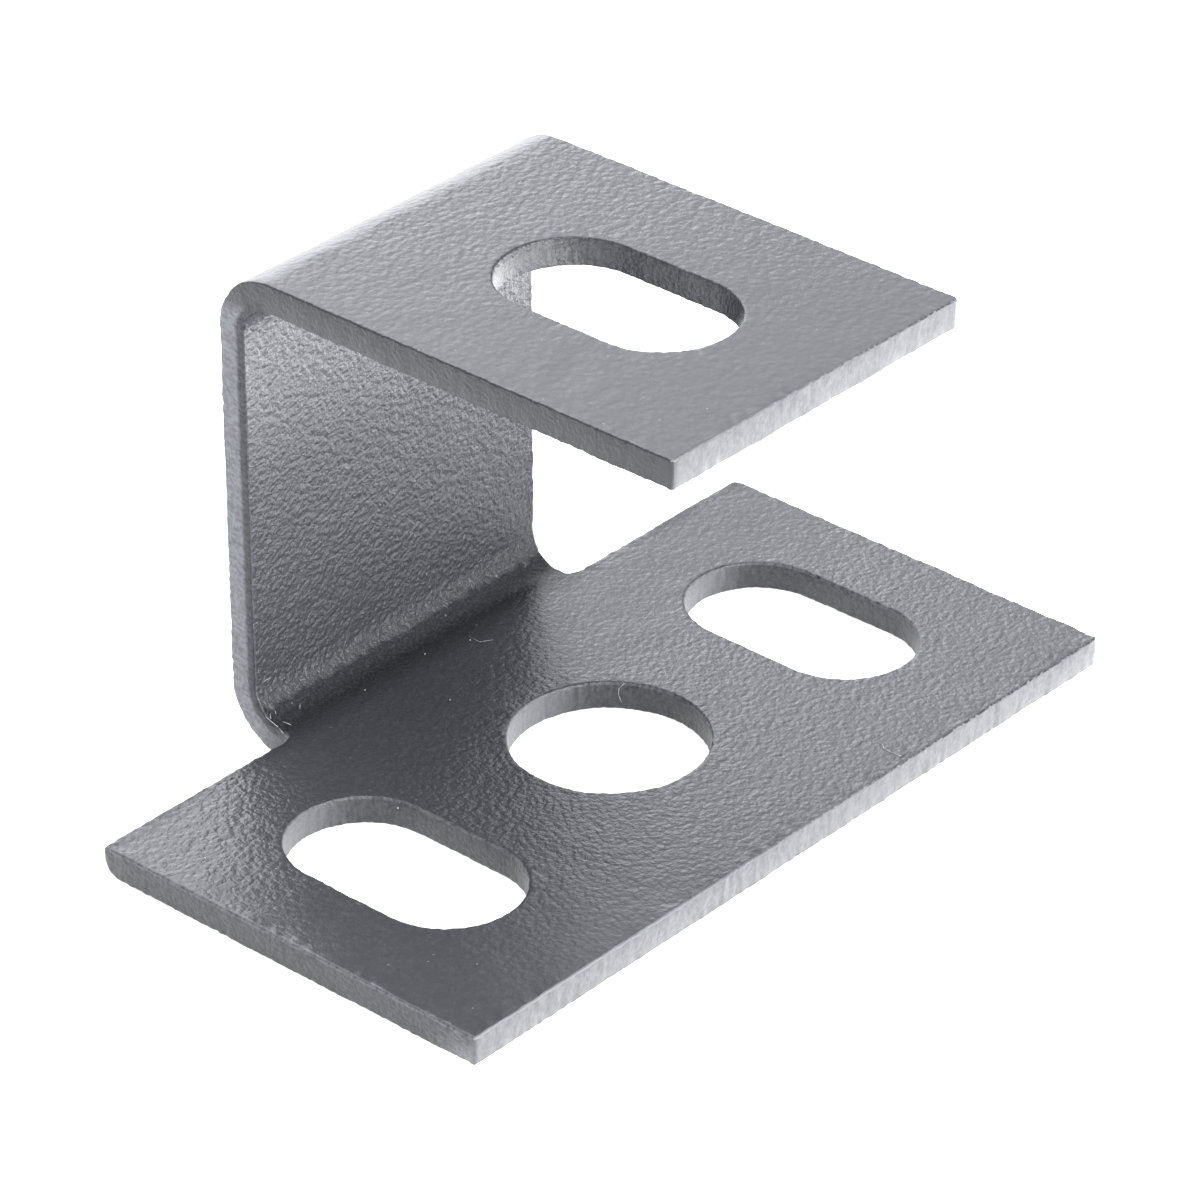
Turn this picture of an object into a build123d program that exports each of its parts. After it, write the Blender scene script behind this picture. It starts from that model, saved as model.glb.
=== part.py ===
from build123d import *
import os

# A ground bar mounting bracket: one piece of sheet steel, cut, folded twice and powder-coated.
# The wide plate at the bottom is screwed down, and the flange on top carries the ground bar.
# The origin is the centre of the plate's round hole, on the plate's underside.
# +Z points up out of the mounting surface, +Y from the hole to the upright web, and X along the folds.

# Driving sizes in millimetres, measured over the coat.
sheet = 1.7
fold_radius = 1.9  # inside the folds
overall_height = 28.5

plate_width = 50.3
plate_edge_to_web = 30.3  # free edge to the web's outer face
shoulder_step = 0.3  # straight side of the web between the fold and the notch

web_width = 22.2
flange_edge_to_web = 30.8  # free edge to the web's outer face

slot_length = 14.2
slot_width = 8.3
slot_pitch = 31.75  # two steps of the 15.875 mm pitch of rack holes
hole_diameter = 10.9
hole_to_free_edge = 13.3  # the same for every slot and the hole

corner_radius = 0.4
notch_radius = 0.5
rim_radius = 0.15  # the coat rounds every cut edge

# Places that follow from them.
plate_edge_y = -hole_to_free_edge
web_outer_y = plate_edge_y + plate_edge_to_web
web_inner_y = web_outer_y - sheet
fold_line_y = web_inner_y - fold_radius
shoulder_y = fold_line_y - shoulder_step - notch_radius
flange_edge_y = web_outer_y - flange_edge_to_web
flange_slot_y = flange_edge_y + hole_to_free_edge
flange_underside_z = overall_height - sheet


def folded_strip():
    # The web with both folds and the flange, drawn from the side at the middle of the sheet's thickness.
    half = sheet / 2
    middle_y = web_outer_y - half
    top_z = overall_height - half
    path = FilletPolyline(
        (0, half),
        (middle_y, half),
        (middle_y, top_z),
        (flange_edge_y, top_z),
        radius=fold_radius + half,
    )
    section = Plane.YZ * trace(path, sheet)
    return Pos(-web_width / 2) * extrude(section, web_width)


def plate():
    depth = shoulder_y - plate_edge_y
    outline = Pos(0, plate_edge_y + depth / 2) * Rectangle(plate_width, depth)
    return extrude(outline, sheet)


def round_corners(body):
    # Corners through the thickness of the two level panels: the outer ones, then the notches beside the web.
    corners = [edge for edge in through_edges(body) if not at_notch(edge.center())]
    body = fillet(corners, corner_radius)
    notches = [edge for edge in through_edges(body) if at_notch(edge.center())]
    return fillet(notches, notch_radius)


def through_edges(body):
    upright = body.edges().filter_by(Axis.Z)
    return upright.filter_by(lambda edge: abs(edge.length - sheet) < 0.01)


def at_notch(place):
    return abs(place.Y - shoulder_y) < 0.01 and abs(abs(place.X) - web_width / 2) < 0.01


def cutters():
    slot = SlotOverall(slot_length, slot_width, rotation=90)
    low = Locations((slot_pitch / 2, 0), (-slot_pitch / 2, 0))
    through_plate = [place * slot for place in low.locations] + [Circle(hole_diameter / 2)]
    through_flange = Pos(0, flange_slot_y, flange_underside_z) * slot
    return [extrude(outline, sheet) for outline in through_plate + [through_flange]]


def is_rim(edge, faces):
    # True where the two faces beside the edge meet at an angle, so not along a fold or a rounded corner.
    middle = edge @ 0.5
    normals = [face.normal_at(middle) for face in faces if face.distance_to(middle) < 0.0001]
    return len(normals) == 2 and normals[0].get_angle(normals[1]) > 45


def round_rims(body):
    faces = body.faces()
    rims = [edge for edge in body.edges() if is_rim(edge, faces)]
    return fillet(rims, rim_radius)


bracket = folded_strip() + plate()
bracket = round_corners(bracket)
for cutter in cutters():
    bracket = bracket - cutter
bracket = round_rims(bracket)

os.makedirs("parts", exist_ok=True)
export_step(bracket, "parts/bracket.step")
print("bracket volume", round(bracket.volume, 1), "mm3, size", bracket.bounding_box().size)
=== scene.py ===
from math import cos, pi, radians, sin, sqrt

import bmesh
import bpy
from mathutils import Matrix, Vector


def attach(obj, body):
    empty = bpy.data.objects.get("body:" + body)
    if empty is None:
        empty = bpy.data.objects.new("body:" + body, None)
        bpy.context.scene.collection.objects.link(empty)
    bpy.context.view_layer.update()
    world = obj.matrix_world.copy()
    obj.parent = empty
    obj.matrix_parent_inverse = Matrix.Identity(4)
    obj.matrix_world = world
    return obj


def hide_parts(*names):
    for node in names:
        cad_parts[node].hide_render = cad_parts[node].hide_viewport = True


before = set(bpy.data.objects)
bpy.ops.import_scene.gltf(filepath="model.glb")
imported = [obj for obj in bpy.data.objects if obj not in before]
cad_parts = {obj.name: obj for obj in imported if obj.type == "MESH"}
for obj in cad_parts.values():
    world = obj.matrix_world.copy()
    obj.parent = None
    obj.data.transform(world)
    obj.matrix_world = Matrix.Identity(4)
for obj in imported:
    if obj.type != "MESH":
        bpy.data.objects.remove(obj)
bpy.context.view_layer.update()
print("frame loaded:", ", ".join(sorted(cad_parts)))


def linearFromHex(code):
    # An sRGB hex colour as linear red, green, blue and full alpha.
    parts = [int(code[i:i + 2], 16) / 255 for i in (1, 3, 5)]
    return tuple(c / 12.92 if c <= 0.04045 else ((c + 0.055) / 1.055) ** 2.4 for c in parts) + (1.0,)


def addNode(tree, kind, settings=None, links=None):
    # One node: settings are its properties and the values of its inputs, links are what feeds its inputs.
    node = tree.nodes.new(kind)
    for name, value in (settings or {}).items():
        if isinstance(name, str) and hasattr(node, name):
            setattr(node, name, value)
        else:
            node.inputs[name].default_value = value
    for name, source in (links or {}).items():
        tree.links.new(source, node.inputs[name])
    return node


# Powder coat on sheet steel: polyester powder, sprayed dry and baked.
# It gives the eye a satin dark grey skin with a fine leathery grain that catches the light on one side.
coat = {
    "colour": "#424347",
    "hollowShadeColour": "#3C3D41",  # painted shade in the grain's hollows
    "foldColour": "#26272A",  # little light gets into the bottom of the lower fold
    "sparkleColour": "#393A3E",  # but some grains there catch it
    "litWebTopColour": "#4E5054",  # painted light: the web's inner face is paler towards its top
    "glintSpeckColour": "#808286",  # painted glints: pale pinpoints over the grain
    "roughness": 0.29,
    "ior": 1.5,
    "gloss": 0.5,
    "foldGloss": 0.22,
    "webGloss": (-0.13, 0.12),  # what the web's lower and upper parts add
    # The grain's sizes and depths.
    "grainMm": 0.31,  # half of one fold of the grain
    "cellMm": 0.34,  # the flat islands between the folds
    "cellShare": 0.5,
    "grainDepthMm": 0.075,
    "fineMm": 0.13,  # a finer grain on top of it
    "fineShare": 0.16,
    "webFineShare": 0.38,  # there is more of it inside the web
    "pebbleMm": 0.7,  # slow unevenness under the grain
    "pebbleDepthMm": 0.02,
    "webGrain": 1.68,  # the grain is deeper inside the web, where the powder gathers
    "foldLoss": 0.9,  # and the bottom of the fold has this share less of that
    "flangeGrain": 0.66,  # it is shallower on the flange
    "flangeScale": 0.78,  # and coarser too
    "foldSideGrain": 0.45,  # it gets shallower where the plate nears the fold
    "leftGrain": 0.78,  # but hardly on the plate's left part
    "grainFade": (1.25, 0.3),  # and it fades from the first share to the second
    "fadeWay": (-0.64, -0.56, 0.52),  # in this direction, to the front left and up
    "fadeMm": (5, 22),  # between these places along it
    "hollowShading": (0.2, 0.5),  # heights in the grain, from the painted shade of its hollows to its crests
    "sparkles": (0.45, 0.7),
    "speckMm": 0.75,  # from one speck to the next
    "speckSize": (0.10, 0.04),  # its rim and its full middle, as shares of that
    "speckChoice": (0.5, 1.1),  # the cells' own numbers, from none to a full speck
    # Where each part of the coat starts and where it is full, in millimetres.
    "flangeTopZ": 27.5,
    "flangeZ": (26.5, 28.2),
    "foldY": (11.5, 13.5),
    "foldZ": (2.08, 1.88),  # the fold's bottom, up to a ragged line
    "raggedMm": 0.7,  # how far that line strays
    "raggedScale": 1800,
    "innerY": (15.8, 15.5),
    "webY": (13.3, 14.5),
    "webZ": (26.2, 23.5),
    "glossZ": (15, 25),
    "litWebTopZ": (14.5, 23.5),
    "foldSideY": (1, 8),
    "leftX": (-11, -14),
    "plateZ": (1.8, 2.2),
}


def makePowderCoat():
    material = bpy.data.materials.new("powder coat, leather grain, satin dark grey")
    material.use_nodes = True
    tree = material.node_tree
    tree.nodes.clear()
    place = addNode(tree, "ShaderNodeTexCoord").outputs["Object"]
    x, y, z = addNode(tree, "ShaderNodeSeparateXYZ", None, {0: place}).outputs

    # The grain is soft folds with flat islands between them, and a finer grain and slow pebbles go with it.
    onFlange = addNode(tree, "ShaderNodeMath", {"operation": "GREATER_THAN", 1: coat["flangeTopZ"] / 1000},
                       {0: z})
    size = addNode(tree, "ShaderNodeMapRange", {"To Min": 1.0, "To Max": coat["flangeScale"]},
                   {"Value": onFlange.outputs[0]})
    foldScale = addNode(tree, "ShaderNodeMath", {"operation": "MULTIPLY", 1: 1000 / coat["grainMm"]},
                        {0: size.outputs[0]})
    cellScale = addNode(tree, "ShaderNodeMath", {"operation": "MULTIPLY", 1: 1000 / coat["cellMm"]},
                        {0: size.outputs[0]})
    folds = addNode(tree, "ShaderNodeTexNoise", {"Detail": 3.0, "Roughness": 0.5},
                    {"Vector": place, "Scale": foldScale.outputs[0]})
    islands = addNode(tree, "ShaderNodeTexVoronoi", {"feature": "F1"},
                      {"Vector": place, "Scale": cellScale.outputs[0]})
    coarse = addNode(tree, "ShaderNodeMath", {"operation": "MULTIPLY_ADD", 1: -coat["cellShare"]},
                     {0: islands.outputs["Distance"], 2: folds.outputs["Fac"]})
    fine = addNode(tree, "ShaderNodeTexNoise", {"Scale": 1000 / coat["fineMm"], "Detail": 1.0},
                   {"Vector": place})
    pebble = addNode(tree, "ShaderNodeTexNoise", {"Scale": 1000 / coat["pebbleMm"], "Detail": 1.0},
                     {"Vector": place})
    slow = addNode(tree, "ShaderNodeBump", {"Strength": 1.0, "Distance": coat["pebbleDepthMm"] / 1000},
                   {"Height": pebble.outputs["Fac"]})
    ragged = addNode(tree, "ShaderNodeTexNoise", {"Scale": coat["raggedScale"], "Detail": 3.0},
                     {"Vector": place})
    line = addNode(tree, "ShaderNodeMath", {"operation": "MULTIPLY_ADD", 1: -coat["raggedMm"] / 1000},
                   {0: ragged.outputs["Fac"], 2: z})
    dots = addNode(tree, "ShaderNodeTexVoronoi", {"Scale": 1000 / coat["speckMm"]}, {"Vector": place})
    own = addNode(tree, "ShaderNodeSeparateColor", None, {"Color": dots.outputs["Color"]})
    way = addNode(tree, "ShaderNodeVectorMath", {"operation": "DOT_PRODUCT", 1: coat["fadeWay"]}, {0: place})

    # Each of these goes from its first value to its second, from where it starts to where it is full.
    at = {}
    for name, value, first, second in (
        ("foldZ", line.outputs[0], 0, 1), ("foldY", y, 0, 1), ("innerY", y, 0, 1), ("webY", y, 0, 1),
        ("webZ", z, 0, 1), ("litWebTopZ", z, 0, 1), ("glossZ", z, *coat["webGloss"]),
        ("flangeZ", z, 1, coat["flangeGrain"]), ("foldSideY", y, 1, coat["foldSideGrain"]),
        ("fadeMm", way.outputs["Value"], *coat["grainFade"]),
    ):
        start, full = coat[name]
        at[name] = addNode(tree, "ShaderNodeMapRange", {
            "interpolation_type": "SMOOTHSTEP" if name in ("litWebTopZ", "fadeMm") else "LINEAR",
            "From Min": start / 1000, "From Max": full / 1000, "To Min": first, "To Max": second,
        }, {"Value": value}).outputs[0]
    for name, value in (
        ("hollowShading", coarse.outputs[0]), ("sparkles", fine.outputs["Fac"]),
        ("speckSize", dots.outputs["Distance"]), ("speckChoice", own.outputs[0]),
    ):
        start, full = coat[name]
        ramp = addNode(tree, "ShaderNodeMapRange", {"From Min": start, "From Max": full}, {"Value": value})
        at[name] = ramp.outputs[0]
    for name, parts in (
        ("shadow", ("foldZ", "foldY", "innerY")),  # the bottom of the lower fold
        ("web", ("webY", "webZ")),
        ("litWebTop", ("litWebTopZ", "innerY", "web")),
        ("glintSpeck", ("speckSize", "speckChoice")),  # the middle of those few cells whose own number is high
    ):
        at[name] = at[parts[0]]
        for part in parts[1:]:
            product = addNode(tree, "ShaderNodeMath", {"operation": "MULTIPLY"}, {0: at[name], 1: at[part]})
            at[name] = product.outputs[0]
    loss = addNode(tree, "ShaderNodeMath", {"operation": "MULTIPLY", 1: coat["foldLoss"]}, {0: at["shadow"]})
    inWeb = addNode(tree, "ShaderNodeMath", {"operation": "SUBTRACT", "use_clamp": True},
                    {0: at["web"], 1: loss.outputs[0]})

    # The grain and how deep it is in each place.
    share = addNode(tree, "ShaderNodeMapRange", {"To Min": coat["fineShare"], "To Max": coat["webFineShare"]},
                    {"Value": inWeb.outputs[0]})
    grain = addNode(tree, "ShaderNodeMath", {"operation": "MULTIPLY_ADD"},
                    {0: fine.outputs["Fac"], 1: share.outputs[0], 2: coarse.outputs[0]})
    depth = addNode(tree, "ShaderNodeMapRange", {"To Max": coat["webGrain"]},
                    {"Value": inWeb.outputs[0], "To Min": at["flangeZ"]})
    plate = at["foldSideY"]
    for name, value, second in (("leftX", x, coat["leftGrain"]), ("plateZ", z, 1)):
        start, full = coat[name]
        plate = addNode(tree, "ShaderNodeMapRange", {
            "From Min": start / 1000, "From Max": full / 1000, "To Max": second,
        }, {"Value": value, "To Min": plate}).outputs[0]
    deep = grain.outputs[0]
    for part in (depth.outputs[0], at["fadeMm"], plate):
        deep = addNode(tree, "ShaderNodeMath", {"operation": "MULTIPLY"}, {0: deep, 1: part}).outputs[0]
    bump = addNode(tree, "ShaderNodeBump", {"Strength": 1.0, "Distance": coat["grainDepthMm"] / 1000},
                   {"Height": deep, "Normal": slow.outputs["Normal"]})

    # The colours: the grain's own with painted shade in its hollows, the fold's bottom in painted shadow with
    # painted glints, painted light towards the web's top, and pale specks painted as glints.
    colour = addNode(tree, "ShaderNodeMix", {
        "data_type": "RGBA", 6: linearFromHex(coat["hollowShadeColour"]), 7: linearFromHex(coat["colour"]),
    }, {0: at["hollowShading"]})
    mottled = addNode(tree, "ShaderNodeMix", {
        "data_type": "RGBA", 6: linearFromHex(coat["foldColour"]), 7: linearFromHex(coat["sparkleColour"]),
    }, {0: at["sparkles"]})
    colour = addNode(tree, "ShaderNodeMix", {"data_type": "RGBA"},
                     {0: at["shadow"], 6: colour.outputs[2], 7: mottled.outputs[2]})
    for name in ("litWebTop", "glintSpeck"):
        colour = addNode(tree, "ShaderNodeMix", {
            "data_type": "RGBA", 7: linearFromHex(coat[name + "Colour"]),
        }, {0: at[name], 6: colour.outputs[2]})

    # The web gets glossier upwards, and the fold's bottom is dull.
    webGloss = addNode(tree, "ShaderNodeMath", {"operation": "MULTIPLY_ADD", 2: coat["gloss"]},
                       {0: at["glossZ"], 1: at["web"]})
    gloss = addNode(tree, "ShaderNodeMapRange", {"To Max": coat["foldGloss"]},
                    {"Value": at["shadow"], "To Min": webGloss.outputs[0]})
    shader = addNode(tree, "ShaderNodeBsdfPrincipled", {"Roughness": coat["roughness"], "IOR": coat["ior"]},
                     {"Base Color": colour.outputs[2], "Normal": bump.outputs["Normal"],
                      "Specular IOR Level": gloss.outputs[0]})
    addNode(tree, "ShaderNodeOutputMaterial", None, {"Surface": shader.outputs[0]})
    return material


# The same coat over punched and sheared edges. It ran smoother there, and the tool's upright marks show
# through it: the eye gets a plainer, glossier band with faint streaks across the sheet's thickness.
edgeCoat = {
    "colour": "#3C3D41",
    "hollowShadeColour": "#27282B",
    "webColour": "#6C6E73",  # it is paler along the web's edges
    "webHollowShadeColour": "#4E5055",
    "flangeColour": "#2A2B2E",  # painted shade on the flange's left-facing edge
    "rubbedLitRimColour": "#585A5E",  # the plate's left top rim, in patches: partly rubbed, partly a painted highlight
    "endColour": "#7F8185",  # painted reflection of the bright floor: the left ends of the holes are pale
    "litRimColour": "#6E7074",  # painted light on the front rim's rounding, at the left
    "shadedRimColour": "#26272A",  # and painted shade there at the right, dark and dull
    "roughness": 0.36,
    "ior": 1.5,
    "gloss": 0.5,
    "bandGloss": 0.32,
    "darkRimGloss": 0.1,
    "streakMm": 0.2,  # from one mark to the next
    "streakStretch": 0.3,  # how little a mark changes across the thickness
    "streakDepthMm": 0.012,
    "grainMm": 0.24,
    "grainDepthMm": 0.07,
    "frontSmooth": 0.3,  # how much of the grain is left on the front edges
    "shades": (0.8, 1.2),  # heights of streaks and grain together, from the painted shade of the hollows to the full colour
    "bandMm": 0.42,  # the dark band along the web's inner rim
    "bandEdge": (0.8, 1.5),  # where it ends, in its own widths
    "wornPatches": (0.25, 0.6),  # heights in the grain between which that rim is painted pale
    "darkPatches": (0.3, 0.55),  # and between which the front rim gets its painted shade
    "darkShare": 0.85,
    # Which way a face turns for each of these, as parts of its normal.
    "leftFacing": (-0.3, -0.6),
    "upFacing": (0.2, 0.45),
    "frontFacing": (-0.1, -0.3),
    "endWay": (0.6, -0.8, 0),
    "endFacing": (0.15, 1.2),
    # Where each part starts and where it is full, in millimetres.
    "webY": (12.8, 15.0),
    "frontY": (-12.6, -12.9),
    "wornLowZ": (1.5, 1.58),
    "wornHighZ": (1.9, 1.8),
    "wornY": (12.7, 12.4),
    "flangeZ": (26.0, 26.8),
    "flangeX": (-10.0, -10.6),
    "endX": (-6, -18),
    "endShares": (0.9, 0.6),  # how strong that painted reflection is at those places
    "endZ": (20, 2),
    "darkRimX": (-16, 12),
}


def makeEdgeCoat():
    material = bpy.data.materials.new("powder coat over cut edges, streaked")
    material.use_nodes = True
    tree = material.node_tree
    tree.nodes.clear()
    place = addNode(tree, "ShaderNodeTexCoord").outputs["Object"]
    x, y, z = addNode(tree, "ShaderNodeSeparateXYZ", None, {0: place}).outputs
    normal = addNode(tree, "ShaderNodeNewGeometry").outputs["Normal"]
    aside, ahead, upward = addNode(tree, "ShaderNodeSeparateXYZ", None, {0: normal}).outputs
    grain = addNode(tree, "ShaderNodeTexNoise", {"Scale": 1000 / edgeCoat["grainMm"], "Detail": 2.0},
                    {"Vector": place})

    # Each of these goes from its first value to its second, from where it starts to where it is full.
    at = {}
    for name, value, unit, first, second in (
        ("webY", y, 1000, 0, 1), ("frontY", y, 1000, 0, 1), ("wornLowZ", z, 1000, 0, 1),
        ("wornHighZ", z, 1000, 0, 1), ("wornY", y, 1000, 0, 1), ("flangeZ", z, 1000, 0, 1),
        ("flangeX", x, 1000, 0, 1), ("darkRimX", x, 1000, 0, edgeCoat["darkShare"]),
        ("endX", x, 1000, *edgeCoat["endShares"]), ("leftFacing", aside, 1, 0, 1),
        ("upFacing", upward, 1, 0, 1), ("frontFacing", ahead, 1, 0, 1),
        ("wornPatches", grain.outputs["Fac"], 1, 0, 1), ("darkPatches", grain.outputs["Fac"], 1, 0, 1),
    ):
        start, full = edgeCoat[name]
        at[name] = addNode(tree, "ShaderNodeMapRange", {
            "From Min": start / unit, "From Max": full / unit, "To Min": first, "To Max": second,
        }, {"Value": value}).outputs[0]
    for name, parts in (
        ("rubbedLitRim", ("leftFacing", "wornLowZ", "wornHighZ", "wornY", "wornPatches")),
        ("flange", ("leftFacing", "flangeZ", "flangeX")),
        ("litRim", ("upFacing", "frontFacing", "frontY")),
        ("shadedRim", ("litRim", "darkRimX", "darkPatches")),
    ):
        at[name] = at[parts[0]]
        for part in parts[1:]:
            product = addNode(tree, "ShaderNodeMath", {"operation": "MULTIPLY"}, {0: at[name], 1: at[part]})
            at[name] = product.outputs[0]

    # Streaks go across the thickness, which lies along Y on the web and along Z on the plate and flange.
    squeeze = edgeCoat["streakStretch"]
    upright = addNode(tree, "ShaderNodeMapping", {"Scale": (1, 1, squeeze)}, {"Vector": place})
    level = addNode(tree, "ShaderNodeMapping", {"Scale": (1, squeeze, 1)}, {"Vector": place})
    lines = addNode(tree, "ShaderNodeMix", {"data_type": "VECTOR"},
                    {0: at["webY"], 4: upright.outputs[0], 5: level.outputs[0]})
    streaks = addNode(tree, "ShaderNodeTexNoise", {
        "Scale": 1000 / edgeCoat["streakMm"], "Detail": 3.0, "Roughness": 0.6,
    }, {"Vector": lines.outputs[1]})
    keep = addNode(tree, "ShaderNodeMapRange", {"To Min": 1.0, "To Max": edgeCoat["frontSmooth"]},
                   {"Value": at["frontY"]})
    slow = addNode(tree, "ShaderNodeBump", {"Distance": edgeCoat["grainDepthMm"] / 1000},
                   {"Height": grain.outputs["Fac"], "Strength": keep.outputs[0]})
    bump = addNode(tree, "ShaderNodeBump", {"Distance": edgeCoat["streakDepthMm"] / 1000},
                   {"Height": streaks.outputs["Fac"], "Normal": slow.outputs["Normal"],
                    "Strength": keep.outputs[0]})
    both = addNode(tree, "ShaderNodeMath", {"operation": "ADD"},
                   {0: streaks.outputs["Fac"], 1: grain.outputs["Fac"]})
    # Painted shade: the hollows of the streaks and grain are painted darker than their crests.
    start, full = edgeCoat["shades"]
    shade = addNode(tree, "ShaderNodeMapRange", {"From Min": start, "From Max": full},
                    {"Value": both.outputs[0]})
    mixes = []
    for bright, dark in (("colour", "hollowShadeColour"), ("webColour", "webHollowShadeColour")):
        mix = addNode(tree, "ShaderNodeMix", {
            "data_type": "RGBA", 6: linearFromHex(edgeCoat[dark]), 7: linearFromHex(edgeCoat[bright]),
        }, {0: shade.outputs[0]})
        mixes.append(mix.outputs[2])

    # How far out a point lies round both folds, so that the web's edges are pale outside a dark, dull band.
    middle = bracket["height"] / 2000
    straight = middle - (bracket["thickness"] + bracket["foldRadius"]) / 1000
    fromMiddle = addNode(tree, "ShaderNodeMath", {"operation": "SUBTRACT", 1: middle}, {0: z})
    upDown = addNode(tree, "ShaderNodeMath", {"operation": "ABSOLUTE"}, {0: fromMiddle.outputs[0]})
    pastZ = addNode(tree, "ShaderNodeMath", {"operation": "SUBTRACT", 1: straight}, {0: upDown.outputs[0]})
    overZ = addNode(tree, "ShaderNodeMath", {"operation": "MAXIMUM", 1: 0.0}, {0: pastZ.outputs[0]})
    pastY = addNode(tree, "ShaderNodeMath", {"operation": "SUBTRACT", 1: bracket["foldStart"] / 1000}, {0: y})
    overY = addNode(tree, "ShaderNodeMath", {"operation": "MAXIMUM", 1: 0.0}, {0: pastY.outputs[0]})
    beyond = addNode(tree, "ShaderNodeCombineXYZ", None, {"Y": overY.outputs[0], "Z": overZ.outputs[0]})
    radius = addNode(tree, "ShaderNodeVectorMath", {"operation": "LENGTH"}, {0: beyond.outputs[0]})
    start, full = [bracket["foldRadius"] + edgeCoat["bandMm"] * edge for edge in edgeCoat["bandEdge"]]
    pale = addNode(tree, "ShaderNodeMapRange", {
        "interpolation_type": "SMOOTHSTEP", "From Min": start / 1000, "From Max": full / 1000,
    }, {"Value": radius.outputs["Value"]})
    paleWeb = addNode(tree, "ShaderNodeMath", {"operation": "MULTIPLY"}, {0: at["webY"], 1: pale.outputs[0]})
    band = addNode(tree, "ShaderNodeMath", {"operation": "SUBTRACT"}, {0: at["webY"], 1: paleWeb.outputs[0]})
    gloss = addNode(tree, "ShaderNodeMapRange", {
        "To Min": edgeCoat["gloss"], "To Max": edgeCoat["bandGloss"],
    }, {"Value": band.outputs[0]})

    # Painted reflection of the bright floor on the left ends of the holes, found by which way their walls
    # turn.
    end = addNode(tree, "ShaderNodeVectorMath", {"operation": "DOT_PRODUCT", 1: edgeCoat["endWay"]},
                  {0: normal})
    start, full = edgeCoat["endFacing"]
    turned = addNode(tree, "ShaderNodeMapRange", {
        "interpolation_type": "SMOOTHSTEP", "From Min": start, "From Max": full,
    }, {"Value": end.outputs["Value"]})
    start, full = edgeCoat["endZ"]
    lower = addNode(tree, "ShaderNodeMapRange", {"From Min": start / 1000, "From Max": full / 1000},
                    {"Value": z, "To Max": at["endX"]})
    paintedReflection = addNode(tree, "ShaderNodeMath", {"operation": "MULTIPLY"},
                    {0: turned.outputs[0], 1: lower.outputs[0]})
    atEnd = addNode(tree, "ShaderNodeMath", {"operation": "SUBTRACT", "use_clamp": True},
                    {0: paintedReflection.outputs[0], 1: at["frontY"]})
    at["end"] = atEnd.outputs[0]

    # The colours lie over each other in this order: the web's paler edges, the flange's painted shade, the
    # left rim's rubbed patches and painted highlight, the holes' painted reflection, and the front rim's
    # painted light and painted shade.
    colour = addNode(tree, "ShaderNodeMix", {"data_type": "RGBA"},
                     {0: paleWeb.outputs[0], 6: mixes[0], 7: mixes[1]})
    for name in ("flange", "rubbedLitRim", "end", "litRim", "shadedRim"):
        colour = addNode(tree, "ShaderNodeMix", {
            "data_type": "RGBA", 7: linearFromHex(edgeCoat[name + "Colour"]),
        }, {0: at[name], 6: colour.outputs[2]})
    shine = addNode(tree, "ShaderNodeMapRange", {"To Max": edgeCoat["darkRimGloss"]},
                    {"Value": at["shadedRim"], "To Min": gloss.outputs[0]})
    shader = addNode(tree, "ShaderNodeBsdfPrincipled", {
        "Roughness": edgeCoat["roughness"], "IOR": edgeCoat["ior"],
    }, {
        "Base Color": colour.outputs[2], "Normal": bump.outputs["Normal"],
        "Specular IOR Level": shine.outputs[0],
    })
    addNode(tree, "ShaderNodeOutputMaterial", None, {"Surface": shader.outputs[0]})
    return material


# The folded bracket, in millimetres. Its sheet is drawn as a skin at the middle of its thickness.
bracket = {
    "thickness": 1.7,
    "foldRadius": 1.9,  # inside the folds
    "height": 28.5,
    "webBack": 17.0,  # the web's outer face
    "plateWidth": 50.3,
    "plateFront": -13.3,  # the plate's free edge
    "shoulder": 12.6,  # the plate's rear edge, each side of the web
    "notchRadius": 0.5,
    "foldStart": 13.4,
    "webWidth": 22.2,
    "flangeFront": -13.8,
    "flangeRear": 12.2,  # where the punched part of the flange ends
    "slotWidth": 8.3,
    "slotLength": 14.2,
    "slotOut": 15.875,  # from the round hole to each plate slot
    "flangeSlotBack": -0.5,
    "holeWidth": 10.9,
    "rimRadius": 0.13,  # the coat rounds every cut edge
    # The corners' rounding in plan.
    "cornerRadius": 0.25,
    "sharpRadius": 0.08,  # both left corners have it
    "wornRadius": 0.65,  # the right rear corner has it
    "cornerReach": 1,  # no point further than this from a corner moves,
    "cornerSlack": 0.2,  # and none this far outside the square corner
    "brokenRadius": 1.15,  # the shear has broken the left rear corner's underside off round
    "brokenDepth": 0.9,  # this far in from the plate's left edge
    # What the spray and the punch leave in the surface.
    "coatSize": 2.2,  # the coat's slow waves
    "coatDepth": 0.05,
    "edgeSize": 0.36,  # the cut edges' broken, melted-over line
    "edgeDepth": 0.13,
    "holeShare": 0.55,  # the punched holes are smoother than the sheared outline
    "holeMargin": 0.5,  # they reach this far past a slot's end
    # How finely it is drawn.
    "middleTile": 8.563,  # half the width of the tile round the hole
    "sideSteps": 128,
    "outerSteps": 82,
    "middleSteps": 86,
    "shoulderSteps": 15,  # those of the outer steps that the notch and web take
    "support": 0.25,  # a narrow row of faces beside every cut edge keeps its rounding tight
    "rings": 6,
    "notchRows": 4,
    "foldSteps": 16,
    "webSteps": 84,
    "rimSteps": 3,
    "near": 0.01,  # closer than this counts as the same place
    "weld": 0.02,  # and points closer than this become one
    "flatWeight": 60,  # large faces lead by this, so a flat face stays flat up to its rounded rim
}


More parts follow.
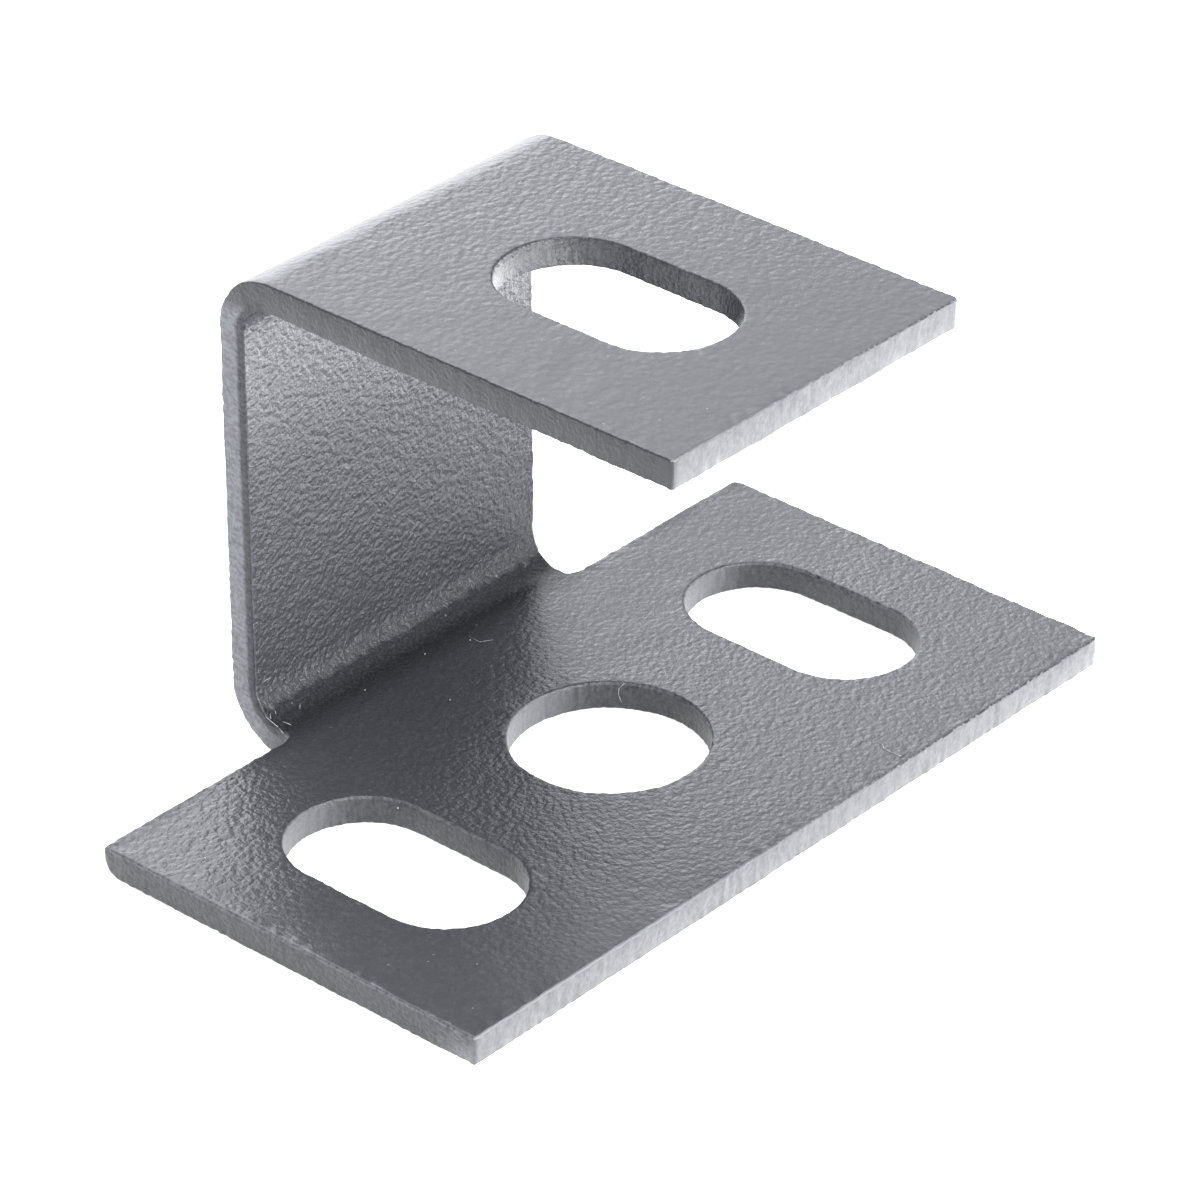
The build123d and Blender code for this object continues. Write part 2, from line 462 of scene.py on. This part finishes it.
def pick(kind, test):
    # Selects in edit mode the verts or edges that pass the test, and nothing else.
    bpy.ops.mesh.select_mode(type={"verts": "VERT", "edges": "EDGE"}[kind])
    bpy.ops.mesh.select_all(action="DESELECT")
    live = bmesh.from_edit_mesh(bpy.context.object.data)
    for item in [item for item in getattr(live, kind) if test(item)]:
        item.select_set(True)
    bmesh.update_edit_mesh(bpy.context.object.data)


def middleOf(edge):
    return sum((dot.co for dot in edge.verts), Vector()) / len(edge.verts)


def along(edge, axis, place):
    # True where both of an edge's ends are at one place on an axis.
    return all(abs(dot.co[axis] - place) < bracket["near"] for dot in edge.verts)


def punchedTile(left, front, right, rear, steps, centreX, centreY, width, straight, height):
    # A flat tile with one hole: steps are the points along its front, right, rear and left sides.
    around = sum(steps)
    extra = 0  # points along each straight side of a slot
    if straight:
        extra = round(around * straight / (pi * width + 2 * straight)) - 1
        extra += (around - 2 * extra) % 4 // 2
    points = around - 2 * extra
    support, near = bracket["support"], bracket["near"]
    wide, deep = right - left - 2 * support, rear - front - 2 * support
    radius = width / 2 + support
    middle = Vector(((left + right) / 2, (front + rear) / 2, height))
    centre = Vector((centreX, centreY, height))
    bpy.ops.object.select_all(action="DESELECT")
    bpy.ops.mesh.primitive_plane_add(size=1, location=middle)
    tile = bpy.context.object
    tile.scale = (wide, deep, 1)
    bpy.ops.object.transform_apply(location=True, rotation=True, scale=True)
    bpy.ops.object.mode_set(mode="EDIT")
    bpy.ops.mesh.select_mode(type="FACE")
    bpy.ops.mesh.select_all(action="SELECT")
    bpy.ops.mesh.delete(type="ONLY_FACE")
    sides = ((1, front + support), (0, right - support), (1, rear - support), (0, left + support))
    for (axis, place), count in zip(sides, steps):
        pick("edges", lambda edge: along(edge, axis, place))
        bpy.ops.mesh.subdivide(number_cuts=1)  # in two goes, because one makes 100 cuts at most
        bpy.ops.mesh.subdivide(number_cuts=count // 2 - 1)
    # The hole starts as a circle turned by half a step, so that a slot's halves part between two points.
    bpy.ops.mesh.select_all(action="DESELECT")
    bpy.ops.mesh.primitive_circle_add(
        vertices=points, radius=radius, location=centre, rotation=(0, 0, pi / points))
    if straight:
        for way in (1, -1):
            pick("verts", lambda dot: (dot.co - centre).length < radius + near
                 and way * (dot.co.y - centreY) > 0)
            bpy.ops.transform.translate(value=(0, way * straight / 2, 0))
        pick("edges", lambda edge: (middleOf(edge) - centre).length < radius + near)
        bpy.ops.mesh.subdivide(number_cuts=extra)
    bpy.ops.mesh.select_mode(type="EDGE")
    bpy.ops.mesh.select_all(action="SELECT")
    bpy.ops.mesh.bridge_edge_loops(number_cuts=bracket["rings"], interpolation="LINEAR")
    # A narrow row of faces outside the tile's outline, and one inside its hole.
    pick("edges", lambda edge: any(along(edge, axis, place) for axis, place in sides))
    bpy.ops.mesh.extrude_region_move()
    grown = (1 + 2 * support / wide, 1 + 2 * support / deep, 1)
    bpy.ops.transform.resize(value=grown, center_override=middle)
    pick("edges", lambda edge: edge.is_boundary and abs(middleOf(edge).x - centreX) < radius + near
         and abs(middleOf(edge).y - centreY) < radius + straight / 2 + near)
    bpy.ops.mesh.extrude_region_move()
    shrink = 1 - support / radius
    bpy.ops.transform.resize(value=(shrink, 1, 1), center_override=centre)
    for way in (1, -1):
        pick("verts", lambda dot: dot.is_boundary and abs(dot.co.x - centreX) < width / 2 + near
             and way * (dot.co.y - centreY) > straight / 2
             and abs(dot.co.y - centreY) < radius + straight / 2 + near)
        end = centre + Vector((0, way * straight / 2, 0))
        bpy.ops.transform.resize(value=(1, shrink, 1), center_override=end)
    bpy.ops.object.mode_set(mode="OBJECT")
    return tile


def makeBracket():
    half, near = bracket["thickness"] / 2, bracket["near"]
    middle, outer = bracket["middleTile"], bracket["plateWidth"] / 2
    front, shoulder = bracket["plateFront"], bracket["shoulder"]
    straight = bracket["slotLength"] - bracket["slotWidth"]
    sides, outers, middles = bracket["sideSteps"], bracket["outerSteps"], bracket["middleSteps"]
    webHalf = bracket["webWidth"] / 2
    across = middles + 2 * bracket["shoulderSteps"]
    tiles = [
        punchedTile(-outer, front, -middle, shoulder, (outers, sides, outers, sides),
                    -bracket["slotOut"], 0, bracket["slotWidth"], straight, half),
        punchedTile(-middle, front, middle, shoulder, (middles, sides, middles, sides),
                    0, 0, bracket["holeWidth"], 0, half),
        punchedTile(middle, front, outer, shoulder, (outers, sides, outers, sides),
                    bracket["slotOut"], 0, bracket["slotWidth"], straight, half),
        punchedTile(-webHalf, bracket["flangeFront"], webHalf, bracket["flangeRear"],
                    (across, sides, across, sides),
                    0, bracket["flangeSlotBack"], bracket["slotWidth"], straight, bracket["height"] - half),
    ]
    bpy.ops.object.select_all(action="DESELECT")
    for tile in tiles:
        tile.select_set(True)
    bpy.context.view_layer.objects.active = tiles[1]
    bpy.ops.object.join()
    piece = bpy.context.object
    bpy.ops.object.mode_set(mode="EDIT")
    bpy.ops.mesh.select_all(action="SELECT")
    bpy.ops.mesh.remove_doubles(threshold=bracket["weld"])
    print("flat tiles joined:", len(piece.data.vertices))

    # The web grows out of the plate's rear edge. Its first rows narrow with the notch's round corner.
    notch = bracket["notchRadius"]
    step = (outer - middle) / outers
    root = middle + step * bracket["shoulderSteps"]
    for side in (-1, 1):
        pick("verts", lambda dot: abs(dot.co.y - shoulder) < near and abs(dot.co.x - side * root) < near
             and dot.co.z < bracket["height"] / 2)
        bpy.ops.transform.translate(value=(side * (webHalf + notch - root), 0, 0))
    pick("edges", lambda edge: along(edge, 1, shoulder) and abs(middleOf(edge).x) < webHalf + notch
         and edge.verts[0].co.z < bracket["height"] / 2)
    wide = webHalf + notch
    rows = bracket["notchRows"]
    for row in range(1, rows + 1):
        bpy.ops.mesh.extrude_region_move(TRANSFORM_OT_translate={"value": (0, notch / rows, 0)})
        left = notch * (1 - row / rows)
        now = webHalf + notch - sqrt(notch ** 2 - left ** 2)
        bpy.ops.transform.resize(value=(now / wide, 1, 1), center_override=(0, 0, 0))
        wide = now
    bpy.ops.mesh.extrude_region_move(
        TRANSFORM_OT_translate={"value": (0, bracket["foldStart"] - shoulder - notch, 0)})
    turn = bracket["foldRadius"] + half
    low, high = half + turn, bracket["height"] - half - turn
    bpy.ops.mesh.spin(
        steps=bracket["foldSteps"], angle=-pi / 2, center=(0, bracket["foldStart"], low), axis=(1, 0, 0))
    bpy.ops.mesh.extrude_region_move(TRANSFORM_OT_translate={"value": (0, 0, high - low)})
    pick("edges", lambda edge: abs(edge.verts[0].co.z - edge.verts[1].co.z) > high - low - near)
    bpy.ops.mesh.subdivide(number_cuts=bracket["webSteps"] - 1)
    pick("edges", lambda edge: along(edge, 2, high) and edge.is_boundary
         and abs(middleOf(edge).x) < webHalf - near)
    bpy.ops.mesh.spin(
        steps=bracket["foldSteps"], angle=-pi / 2, center=(0, bracket["foldStart"], high), axis=(1, 0, 0))
    pick("edges", lambda edge: edge.is_boundary and edge.verts[0].co.z > high and (
        along(edge, 1, bracket["foldStart"]) or along(edge, 1, bracket["flangeRear"])))
    bpy.ops.mesh.bridge_edge_loops(number_cuts=1, interpolation="LINEAR")
    bpy.ops.mesh.select_all(action="SELECT")
    bpy.ops.mesh.normals_make_consistent(inside=False)
    bpy.ops.object.mode_set(mode="OBJECT")
    print("folded skin:", len(piece.data.polygons))
    return piece


def thicken(piece):
    # The skin becomes sheet: material 0 is the coat on the faces, and material 1 the coat over the cut edges.
    solid = piece.modifiers.new("thickness", "SOLIDIFY")
    solid.thickness = bracket["thickness"]
    solid.offset = 0
    solid.use_even_offset = True
    solid.use_rim = True
    solid.material_offset_rim = 1
    bpy.ops.object.modifier_apply(modifier=solid.name)
    bpy.ops.object.mode_set(mode="EDIT")
    pick("edges", lambda edge: all(face.material_index == 1 for face in edge.link_faces))
    bpy.ops.mesh.subdivide(number_cuts=1)
    pick("edges", lambda edge: len({face.material_index for face in edge.link_faces}) == 2)
    bpy.ops.mesh.bevel(offset=bracket["rimRadius"], segments=bracket["rimSteps"], profile=0.5, affect="EDGES",
                       clamp_overlap=False, offset_type="OFFSET", material=1)
    bpy.ops.object.mode_set(mode="OBJECT")
    print("sheet with rounded rims:", len(piece.data.polygons))


def towardsRound(across, up, radius):
    # A square corner's point, measured from the arc's centre, moved so that the corner becomes an arc.
    if min(across, up) <= 0 or max(across, up) > radius + bracket["cornerSlack"]:
        return across, up
    scale = max(across, up) / sqrt(across ** 2 + up ** 2)
    return across * scale, up * scale


def roundCorners(piece):
    left, front, rear = -bracket["plateWidth"] / 2, bracket["plateFront"], bracket["shoulder"]
    half, reach = bracket["height"] / 2, bracket["cornerReach"]
    plans = [(x, y, False) for x in (left, -left) for y in (front, rear)]
    plans += [(x, bracket["flangeFront"], True) for x in (-bracket["webWidth"] / 2, bracket["webWidth"] / 2)]
    own = {(left, rear): "sharpRadius", (left, front): "sharpRadius", (-left, rear): "wornRadius"}
    broken = bracket["brokenRadius"]
    for dot in piece.data.vertices:
        for x, y, high in plans:
            sideX, sideY = (1 if x > 0 else -1), (1 if y > 0 else -1)
            if (dot.co.z > half) == high and abs(dot.co.x - x) < reach and abs(dot.co.y - y) < reach:
                radius = bracket[own.get((x, y), "cornerRadius")]
                across, up = sideX * (dot.co.x - x) + radius, sideY * (dot.co.y - y) + radius
                across, up = towardsRound(across, up, radius)
                dot.co.x, dot.co.y = x + sideX * (across - radius), y + sideY * (up - radius)
        share = 1 - (dot.co.x - left) / bracket["brokenDepth"]
        if share > 0 and dot.co.z < half:
            back, down = dot.co.y - rear + broken, broken - dot.co.z
            across, up = towardsRound(back, down, broken)
            dot.co.y += share * (across - back)
            dot.co.z -= share * (up - down)


def roughen(piece):
    edges = piece.vertex_groups.new(name="cutEdges")
    atEdge = {corner for face in piece.data.polygons if face.material_index == 1 for corner in face.vertices}
    edges.add(sorted(atEdge), 1.0, "REPLACE")
    # Every hole's edge lies within this reach of the hole's centre, and no outline does.
    reach = bracket["slotLength"] / 2 + bracket["holeMargin"]
    centres = [Vector((x, 0, 0)) for x in (-bracket["slotOut"], 0, bracket["slotOut"])]
    centres.append(Vector((0, bracket["flangeSlotBack"], bracket["height"])))
    punched = [i for i in sorted(atEdge)
               if any((piece.data.vertices[i].co - centre).length < reach for centre in centres)]
    edges.add(punched, bracket["holeShare"], "REPLACE")
    for label, group, octaves in (("coat", "", 0), ("edge", "cutEdges", 1)):
        texture = bpy.data.textures.new(label + " waves", "CLOUDS")
        texture.noise_scale = bracket[label + "Size"]
        texture.noise_depth = octaves
        push = piece.modifiers.new(label, "DISPLACE")
        push.texture = texture
        push.texture_coords = "LOCAL"
        push.strength = bracket[label + "Depth"]
        push.mid_level = 0.5
        push.vertex_group = group
        bpy.ops.object.modifier_apply(modifier=push.name)
    # The real sizes were measured over the coat's crests, so nothing stands out past them.
    for dot in piece.data.vertices:
        dot.co.x = max(-bracket["plateWidth"] / 2, min(bracket["plateWidth"] / 2, dot.co.x))
        dot.co.y = max(bracket["flangeFront"], min(bracket["webBack"], dot.co.y))
        dot.co.z = max(0, min(bracket["height"], dot.co.z))
    print("roughened:", len(piece.data.polygons))


def toMetres(piece):
    piece.scale = (0.001, 0.001, 0.001)
    bpy.ops.object.transform_apply(location=True, rotation=True, scale=True)
    bpy.ops.object.shade_smooth()
    even = piece.modifiers.new("normals", "WEIGHTED_NORMAL")
    even.weight = bracket["flatWeight"]
    bpy.ops.object.modifier_apply(modifier=even.name)


piece = makeBracket()
piece.name = "coatedBracket"
piece.data.materials.clear()
piece.data.materials.append(makePowderCoat())
piece.data.materials.append(makeEdgeCoat())
thicken(piece)
roundCorners(piece)
roughen(piece)
toMetres(piece)
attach(piece, "root")
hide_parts("bracket")
print("bracket finished")


# Lint and dust lying on the coat: dry, off-white and matt, it shows the eye that the surface is real.
# Its places and radii are in millimetres.
lint = {
    "colour": "#C4C6C8",
    "shadeColour": "#9A9CA0",
    "clumpScale": 9000,
    "roughness": 0.8,
    "ior": 1.45,
    "fibreRadius": 0.016,
    "faintRadius": 0.009,
    "fibreSides": 6,
    "overlap": 1.05,  # a fibre's straight pieces reach into each other
    "fleckRadius": 0.04,
    "fleckSteps": 2,
    "fibres": (
        ((8.97, -11.31, 1.71), (8.66, -11.70, 1.72), (8.63, -12.26, 1.71), (8.72, -12.80, 1.70)),
        ((4.55, 2.95, 1.66), (4.40, 3.17, 1.33), (4.36, 3.20, 0.95), (4.45, 3.06, 0.51)),
        ((-11.10, 14.53, 2.09), (-11.00, 13.80, 1.76)),
        ((-10.48, 13.90, 1.78), (-10.34, 13.45, 1.71)),
        ((-11.05, 13.61, 1.73), (-11.20, 13.19, 1.71)),
        ((-10.75, 14.58, 2.13), (-10.91, 14.37, 1.98)),
        ((-10.37, 14.58, 2.13), (-10.44, 14.45, 2.03)),
        ((-8.76, 14.29, 1.94), (-9.01, 14.06, 1.84)),
        ((-10.40, 15.28, 3.72), (-10.02, 15.28, 3.73)),
    ),
    "faintFibres": (
        ((2.56, 12.50, 1.70), (2.53, 11.59, 1.70), (3.12, 11.24, 1.70)),
    ),
    "flecks": (
        (-0.36, 12.99, 1.7), (2.32, 12.13, 1.7), (-5.19, 12.90, 1.7), (-2.91, 8.80, 1.7), (-22.46, 7.91, 1.7),
        (-20.79, 4.46, 1.7), (-0.68, 8.85, 28.45), (-5.09, -2.49, 28.45), (-9.85, -0.67, 28.45),
        (-7.09, -6.57, 28.45), (4.70, -13.70, 28.40), (-11.93, 4.20, 1.2),
    ),
}


def makeLintCoat():
    material = bpy.data.materials.new("lint and dust, off-white")
    material.use_nodes = True
    tree = material.node_tree
    tree.nodes.clear()
    place = addNode(tree, "ShaderNodeTexCoord").outputs["Object"]
    clumps = addNode(tree, "ShaderNodeTexNoise", {"Scale": lint["clumpScale"], "Detail": 2.0},
                     {"Vector": place})
    colour = addNode(tree, "ShaderNodeMix", {
        "data_type": "RGBA", 6: linearFromHex(lint["shadeColour"]), 7: linearFromHex(lint["colour"]),
    }, {0: clumps.outputs["Fac"]})
    shader = addNode(tree, "ShaderNodeBsdfPrincipled", {"Roughness": lint["roughness"], "IOR": lint["ior"]},
                     {"Base Color": colour.outputs[2]})
    addNode(tree, "ShaderNodeOutputMaterial", None, {"Surface": shader.outputs[0]})
    return material


def makeLint():
    bpy.ops.object.select_all(action="DESELECT")
    parts = []
    kinds = ((lint["fibres"], lint["fibreRadius"]), (lint["faintFibres"], lint["faintRadius"]))
    for fibre, radius in [(fibre, radius) for fibres, radius in kinds for fibre in fibres]:
        for start, end in zip(fibre, fibre[1:]):
            start, end = Vector(start), Vector(end)
            bpy.ops.mesh.primitive_cylinder_add(
                vertices=lint["fibreSides"], radius=radius, depth=(end - start).length * lint["overlap"],
                location=(start + end) / 2, rotation=(end - start).to_track_quat("Z", "Y").to_euler())
            parts.append(bpy.context.object)
    for fleck in lint["flecks"]:
        bpy.ops.mesh.primitive_ico_sphere_add(
            subdivisions=lint["fleckSteps"], radius=lint["fleckRadius"], location=fleck)
        parts.append(bpy.context.object)
    for part in parts:
        part.select_set(True)
    bpy.context.view_layer.objects.active = parts[0]
    bpy.ops.object.join()
    dust = bpy.context.object
    dust.name = "lintAndDust"
    dust.data.materials.clear()
    dust.data.materials.append(makeLintCoat())
    bpy.ops.object.transform_apply(location=True, rotation=True, scale=True)
    dust.scale = (0.001, 0.001, 0.001)
    bpy.ops.object.transform_apply(location=True, rotation=True, scale=True)
    bpy.ops.object.shade_smooth()
    return dust


dust = makeLint()
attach(dust, "root")
print("lint and dust laid on")


# Where the photograph was taken from, in metres and degrees. The lens and sensor are in millimetres.
view = {
    "place": (-0.20300, -0.17822, 0.17353),
    "tilt": 58.833,
    "turn": -48.613,
    "lens": 181.21,
    "sensor": 36,
    "nearest": 0.01,  # nothing closer than this is drawn
}


def makeCamera():
    camera = bpy.data.objects.new("camera", bpy.data.cameras.new("camera"))
    camera.data.lens = view["lens"]
    camera.data.sensor_width = view["sensor"]
    camera.data.clip_start = view["nearest"]
    camera.location = view["place"]
    camera.rotation_euler = (radians(view["tilt"]), 0, radians(view["turn"]))
    bpy.context.scene.collection.objects.link(camera)
    bpy.context.scene.camera = camera


# A light table: the paper is lit from below, most at the front, and big soft boxes stand round it.
# Each lamp is azimuth, elevation and width in degrees, seen from the bracket with 0 at +X and 90 at +Y,
# and the light that a face turned to it receives.
studio = {
    "floorSize": 6.0,
    "floorGap": 0.02,  # in millimetres, so that the floor and the underside don't share a plane
    "floorColour": "#EDEDED",
    "floorRoughness": 0.9,
    "floorTint": "#FDFDFF",
    "floorGlow": 0.76,
    "frontGlow": 4.2,  # this much more of it in front of the plate
    "glowX": (-36, -22),  # where that starts and where it is full, in millimetres, across
    "glowY": (-9, -15),  # and towards the front
    "glowTurn": 18,  # to the right of this it reaches further back
    "worldStrength": 0.8,
    "worldTint": "#F6F8FF",
    "lampDistance": 1.2,
    "lamps": {
        "frontLow": (272, 8, 36, 4.2, "#FFFEFC"),
        "frontHigh": (240, 55, 36, 2.0, "#FFFEFC"),
        "backSoft": (48, 32, 60, 1.05, "#F8FBFF"),
        "backHigh": (68, 58, 40, 1.7, "#F8FBFF"),
        "backLow": (70, 8, 60, 1.95, "#F8FBFF"),
    },
}


def makeStudio():
    bpy.ops.object.select_all(action="DESELECT")
    bpy.ops.mesh.primitive_plane_add(size=studio["floorSize"], location=(0, 0, -studio["floorGap"] / 1000))
    floor = bpy.context.object
    floor.name = "floor"
    material = bpy.data.materials.new("studio floor, matt paper on a light table")
    material.use_nodes = True
    tree = material.node_tree
    tree.nodes.clear()
    place = addNode(tree, "ShaderNodeTexCoord").outputs["Object"]
    x, y, z = addNode(tree, "ShaderNodeSeparateXYZ", None, {0: place}).outputs
    past = addNode(tree, "ShaderNodeMath", {"operation": "SUBTRACT", 1: studio["glowTurn"] / 1000}, {0: x})
    beyond = addNode(tree, "ShaderNodeMath", {"operation": "MAXIMUM", 1: 0.0}, {0: past.outputs[0]})
    inFront = addNode(tree, "ShaderNodeMath", {"operation": "SUBTRACT"}, {0: y, 1: beyond.outputs[0]})
    parts = []
    for name, value in (("glowY", inFront.outputs[0]), ("glowX", x)):
        start, full = studio[name]
        part = addNode(tree, "ShaderNodeMapRange", {
            "interpolation_type": "SMOOTHSTEP", "From Min": start / 1000, "From Max": full / 1000,
        }, {"Value": value})
        parts.append(part.outputs[0])
    both = addNode(tree, "ShaderNodeMath", {"operation": "MULTIPLY"}, {0: parts[0], 1: parts[1]})
    glow = addNode(tree, "ShaderNodeMapRange", {
        "To Min": studio["floorGlow"], "To Max": studio["floorGlow"] + studio["frontGlow"],
    }, {"Value": both.outputs[0]})
    shader = addNode(tree, "ShaderNodeBsdfPrincipled", {
        "Base Color": linearFromHex(studio["floorColour"]), "Roughness": studio["floorRoughness"],
        "Specular IOR Level": 0.0, "Emission Color": linearFromHex(studio["floorTint"]),
    }, {"Emission Strength": glow.outputs[0]})
    addNode(tree, "ShaderNodeOutputMaterial", None, {"Surface": shader.outputs[0]})
    floor.data.materials.append(material)

    world = bpy.data.worlds.new("studio")
    world.use_nodes = True
    sky = world.node_tree.nodes["Background"]
    sky.inputs["Color"].default_value = linearFromHex(studio["worldTint"])
    sky.inputs["Strength"].default_value = studio["worldStrength"]
    bpy.context.scene.world = world

    away = studio["lampDistance"]
    for name, (azimuth, elevation, width, strength, tint) in studio["lamps"].items():
        lamp = bpy.data.lights.new(name, "AREA")
        lamp.shape = "DISK"
        lamp.size = 2 * away * sin(radians(width / 2)) / cos(radians(width / 2))
        # A lamp's energy follows from what a face turned to it receives.
        solidAngle = 2 * pi * (1 - cos(radians(width / 2)))
        radiance = strength / solidAngle
        lamp.energy = radiance * pi * pi * (lamp.size / 2) ** 2
        lamp.color = linearFromHex(tint)[:3]
        soft = bpy.data.objects.new(name, lamp)
        toLamp = Vector((cos(radians(azimuth)) * cos(radians(elevation)),
                         sin(radians(azimuth)) * cos(radians(elevation)), sin(radians(elevation))))
        soft.location = toLamp * away
        soft.rotation_euler = toLamp.to_track_quat("Z", "Y").to_euler()
        bpy.context.scene.collection.objects.link(soft)


makeCamera()
makeStudio()
bpy.context.scene.view_settings.view_transform = "Standard"
print("camera, floor and lights placed")
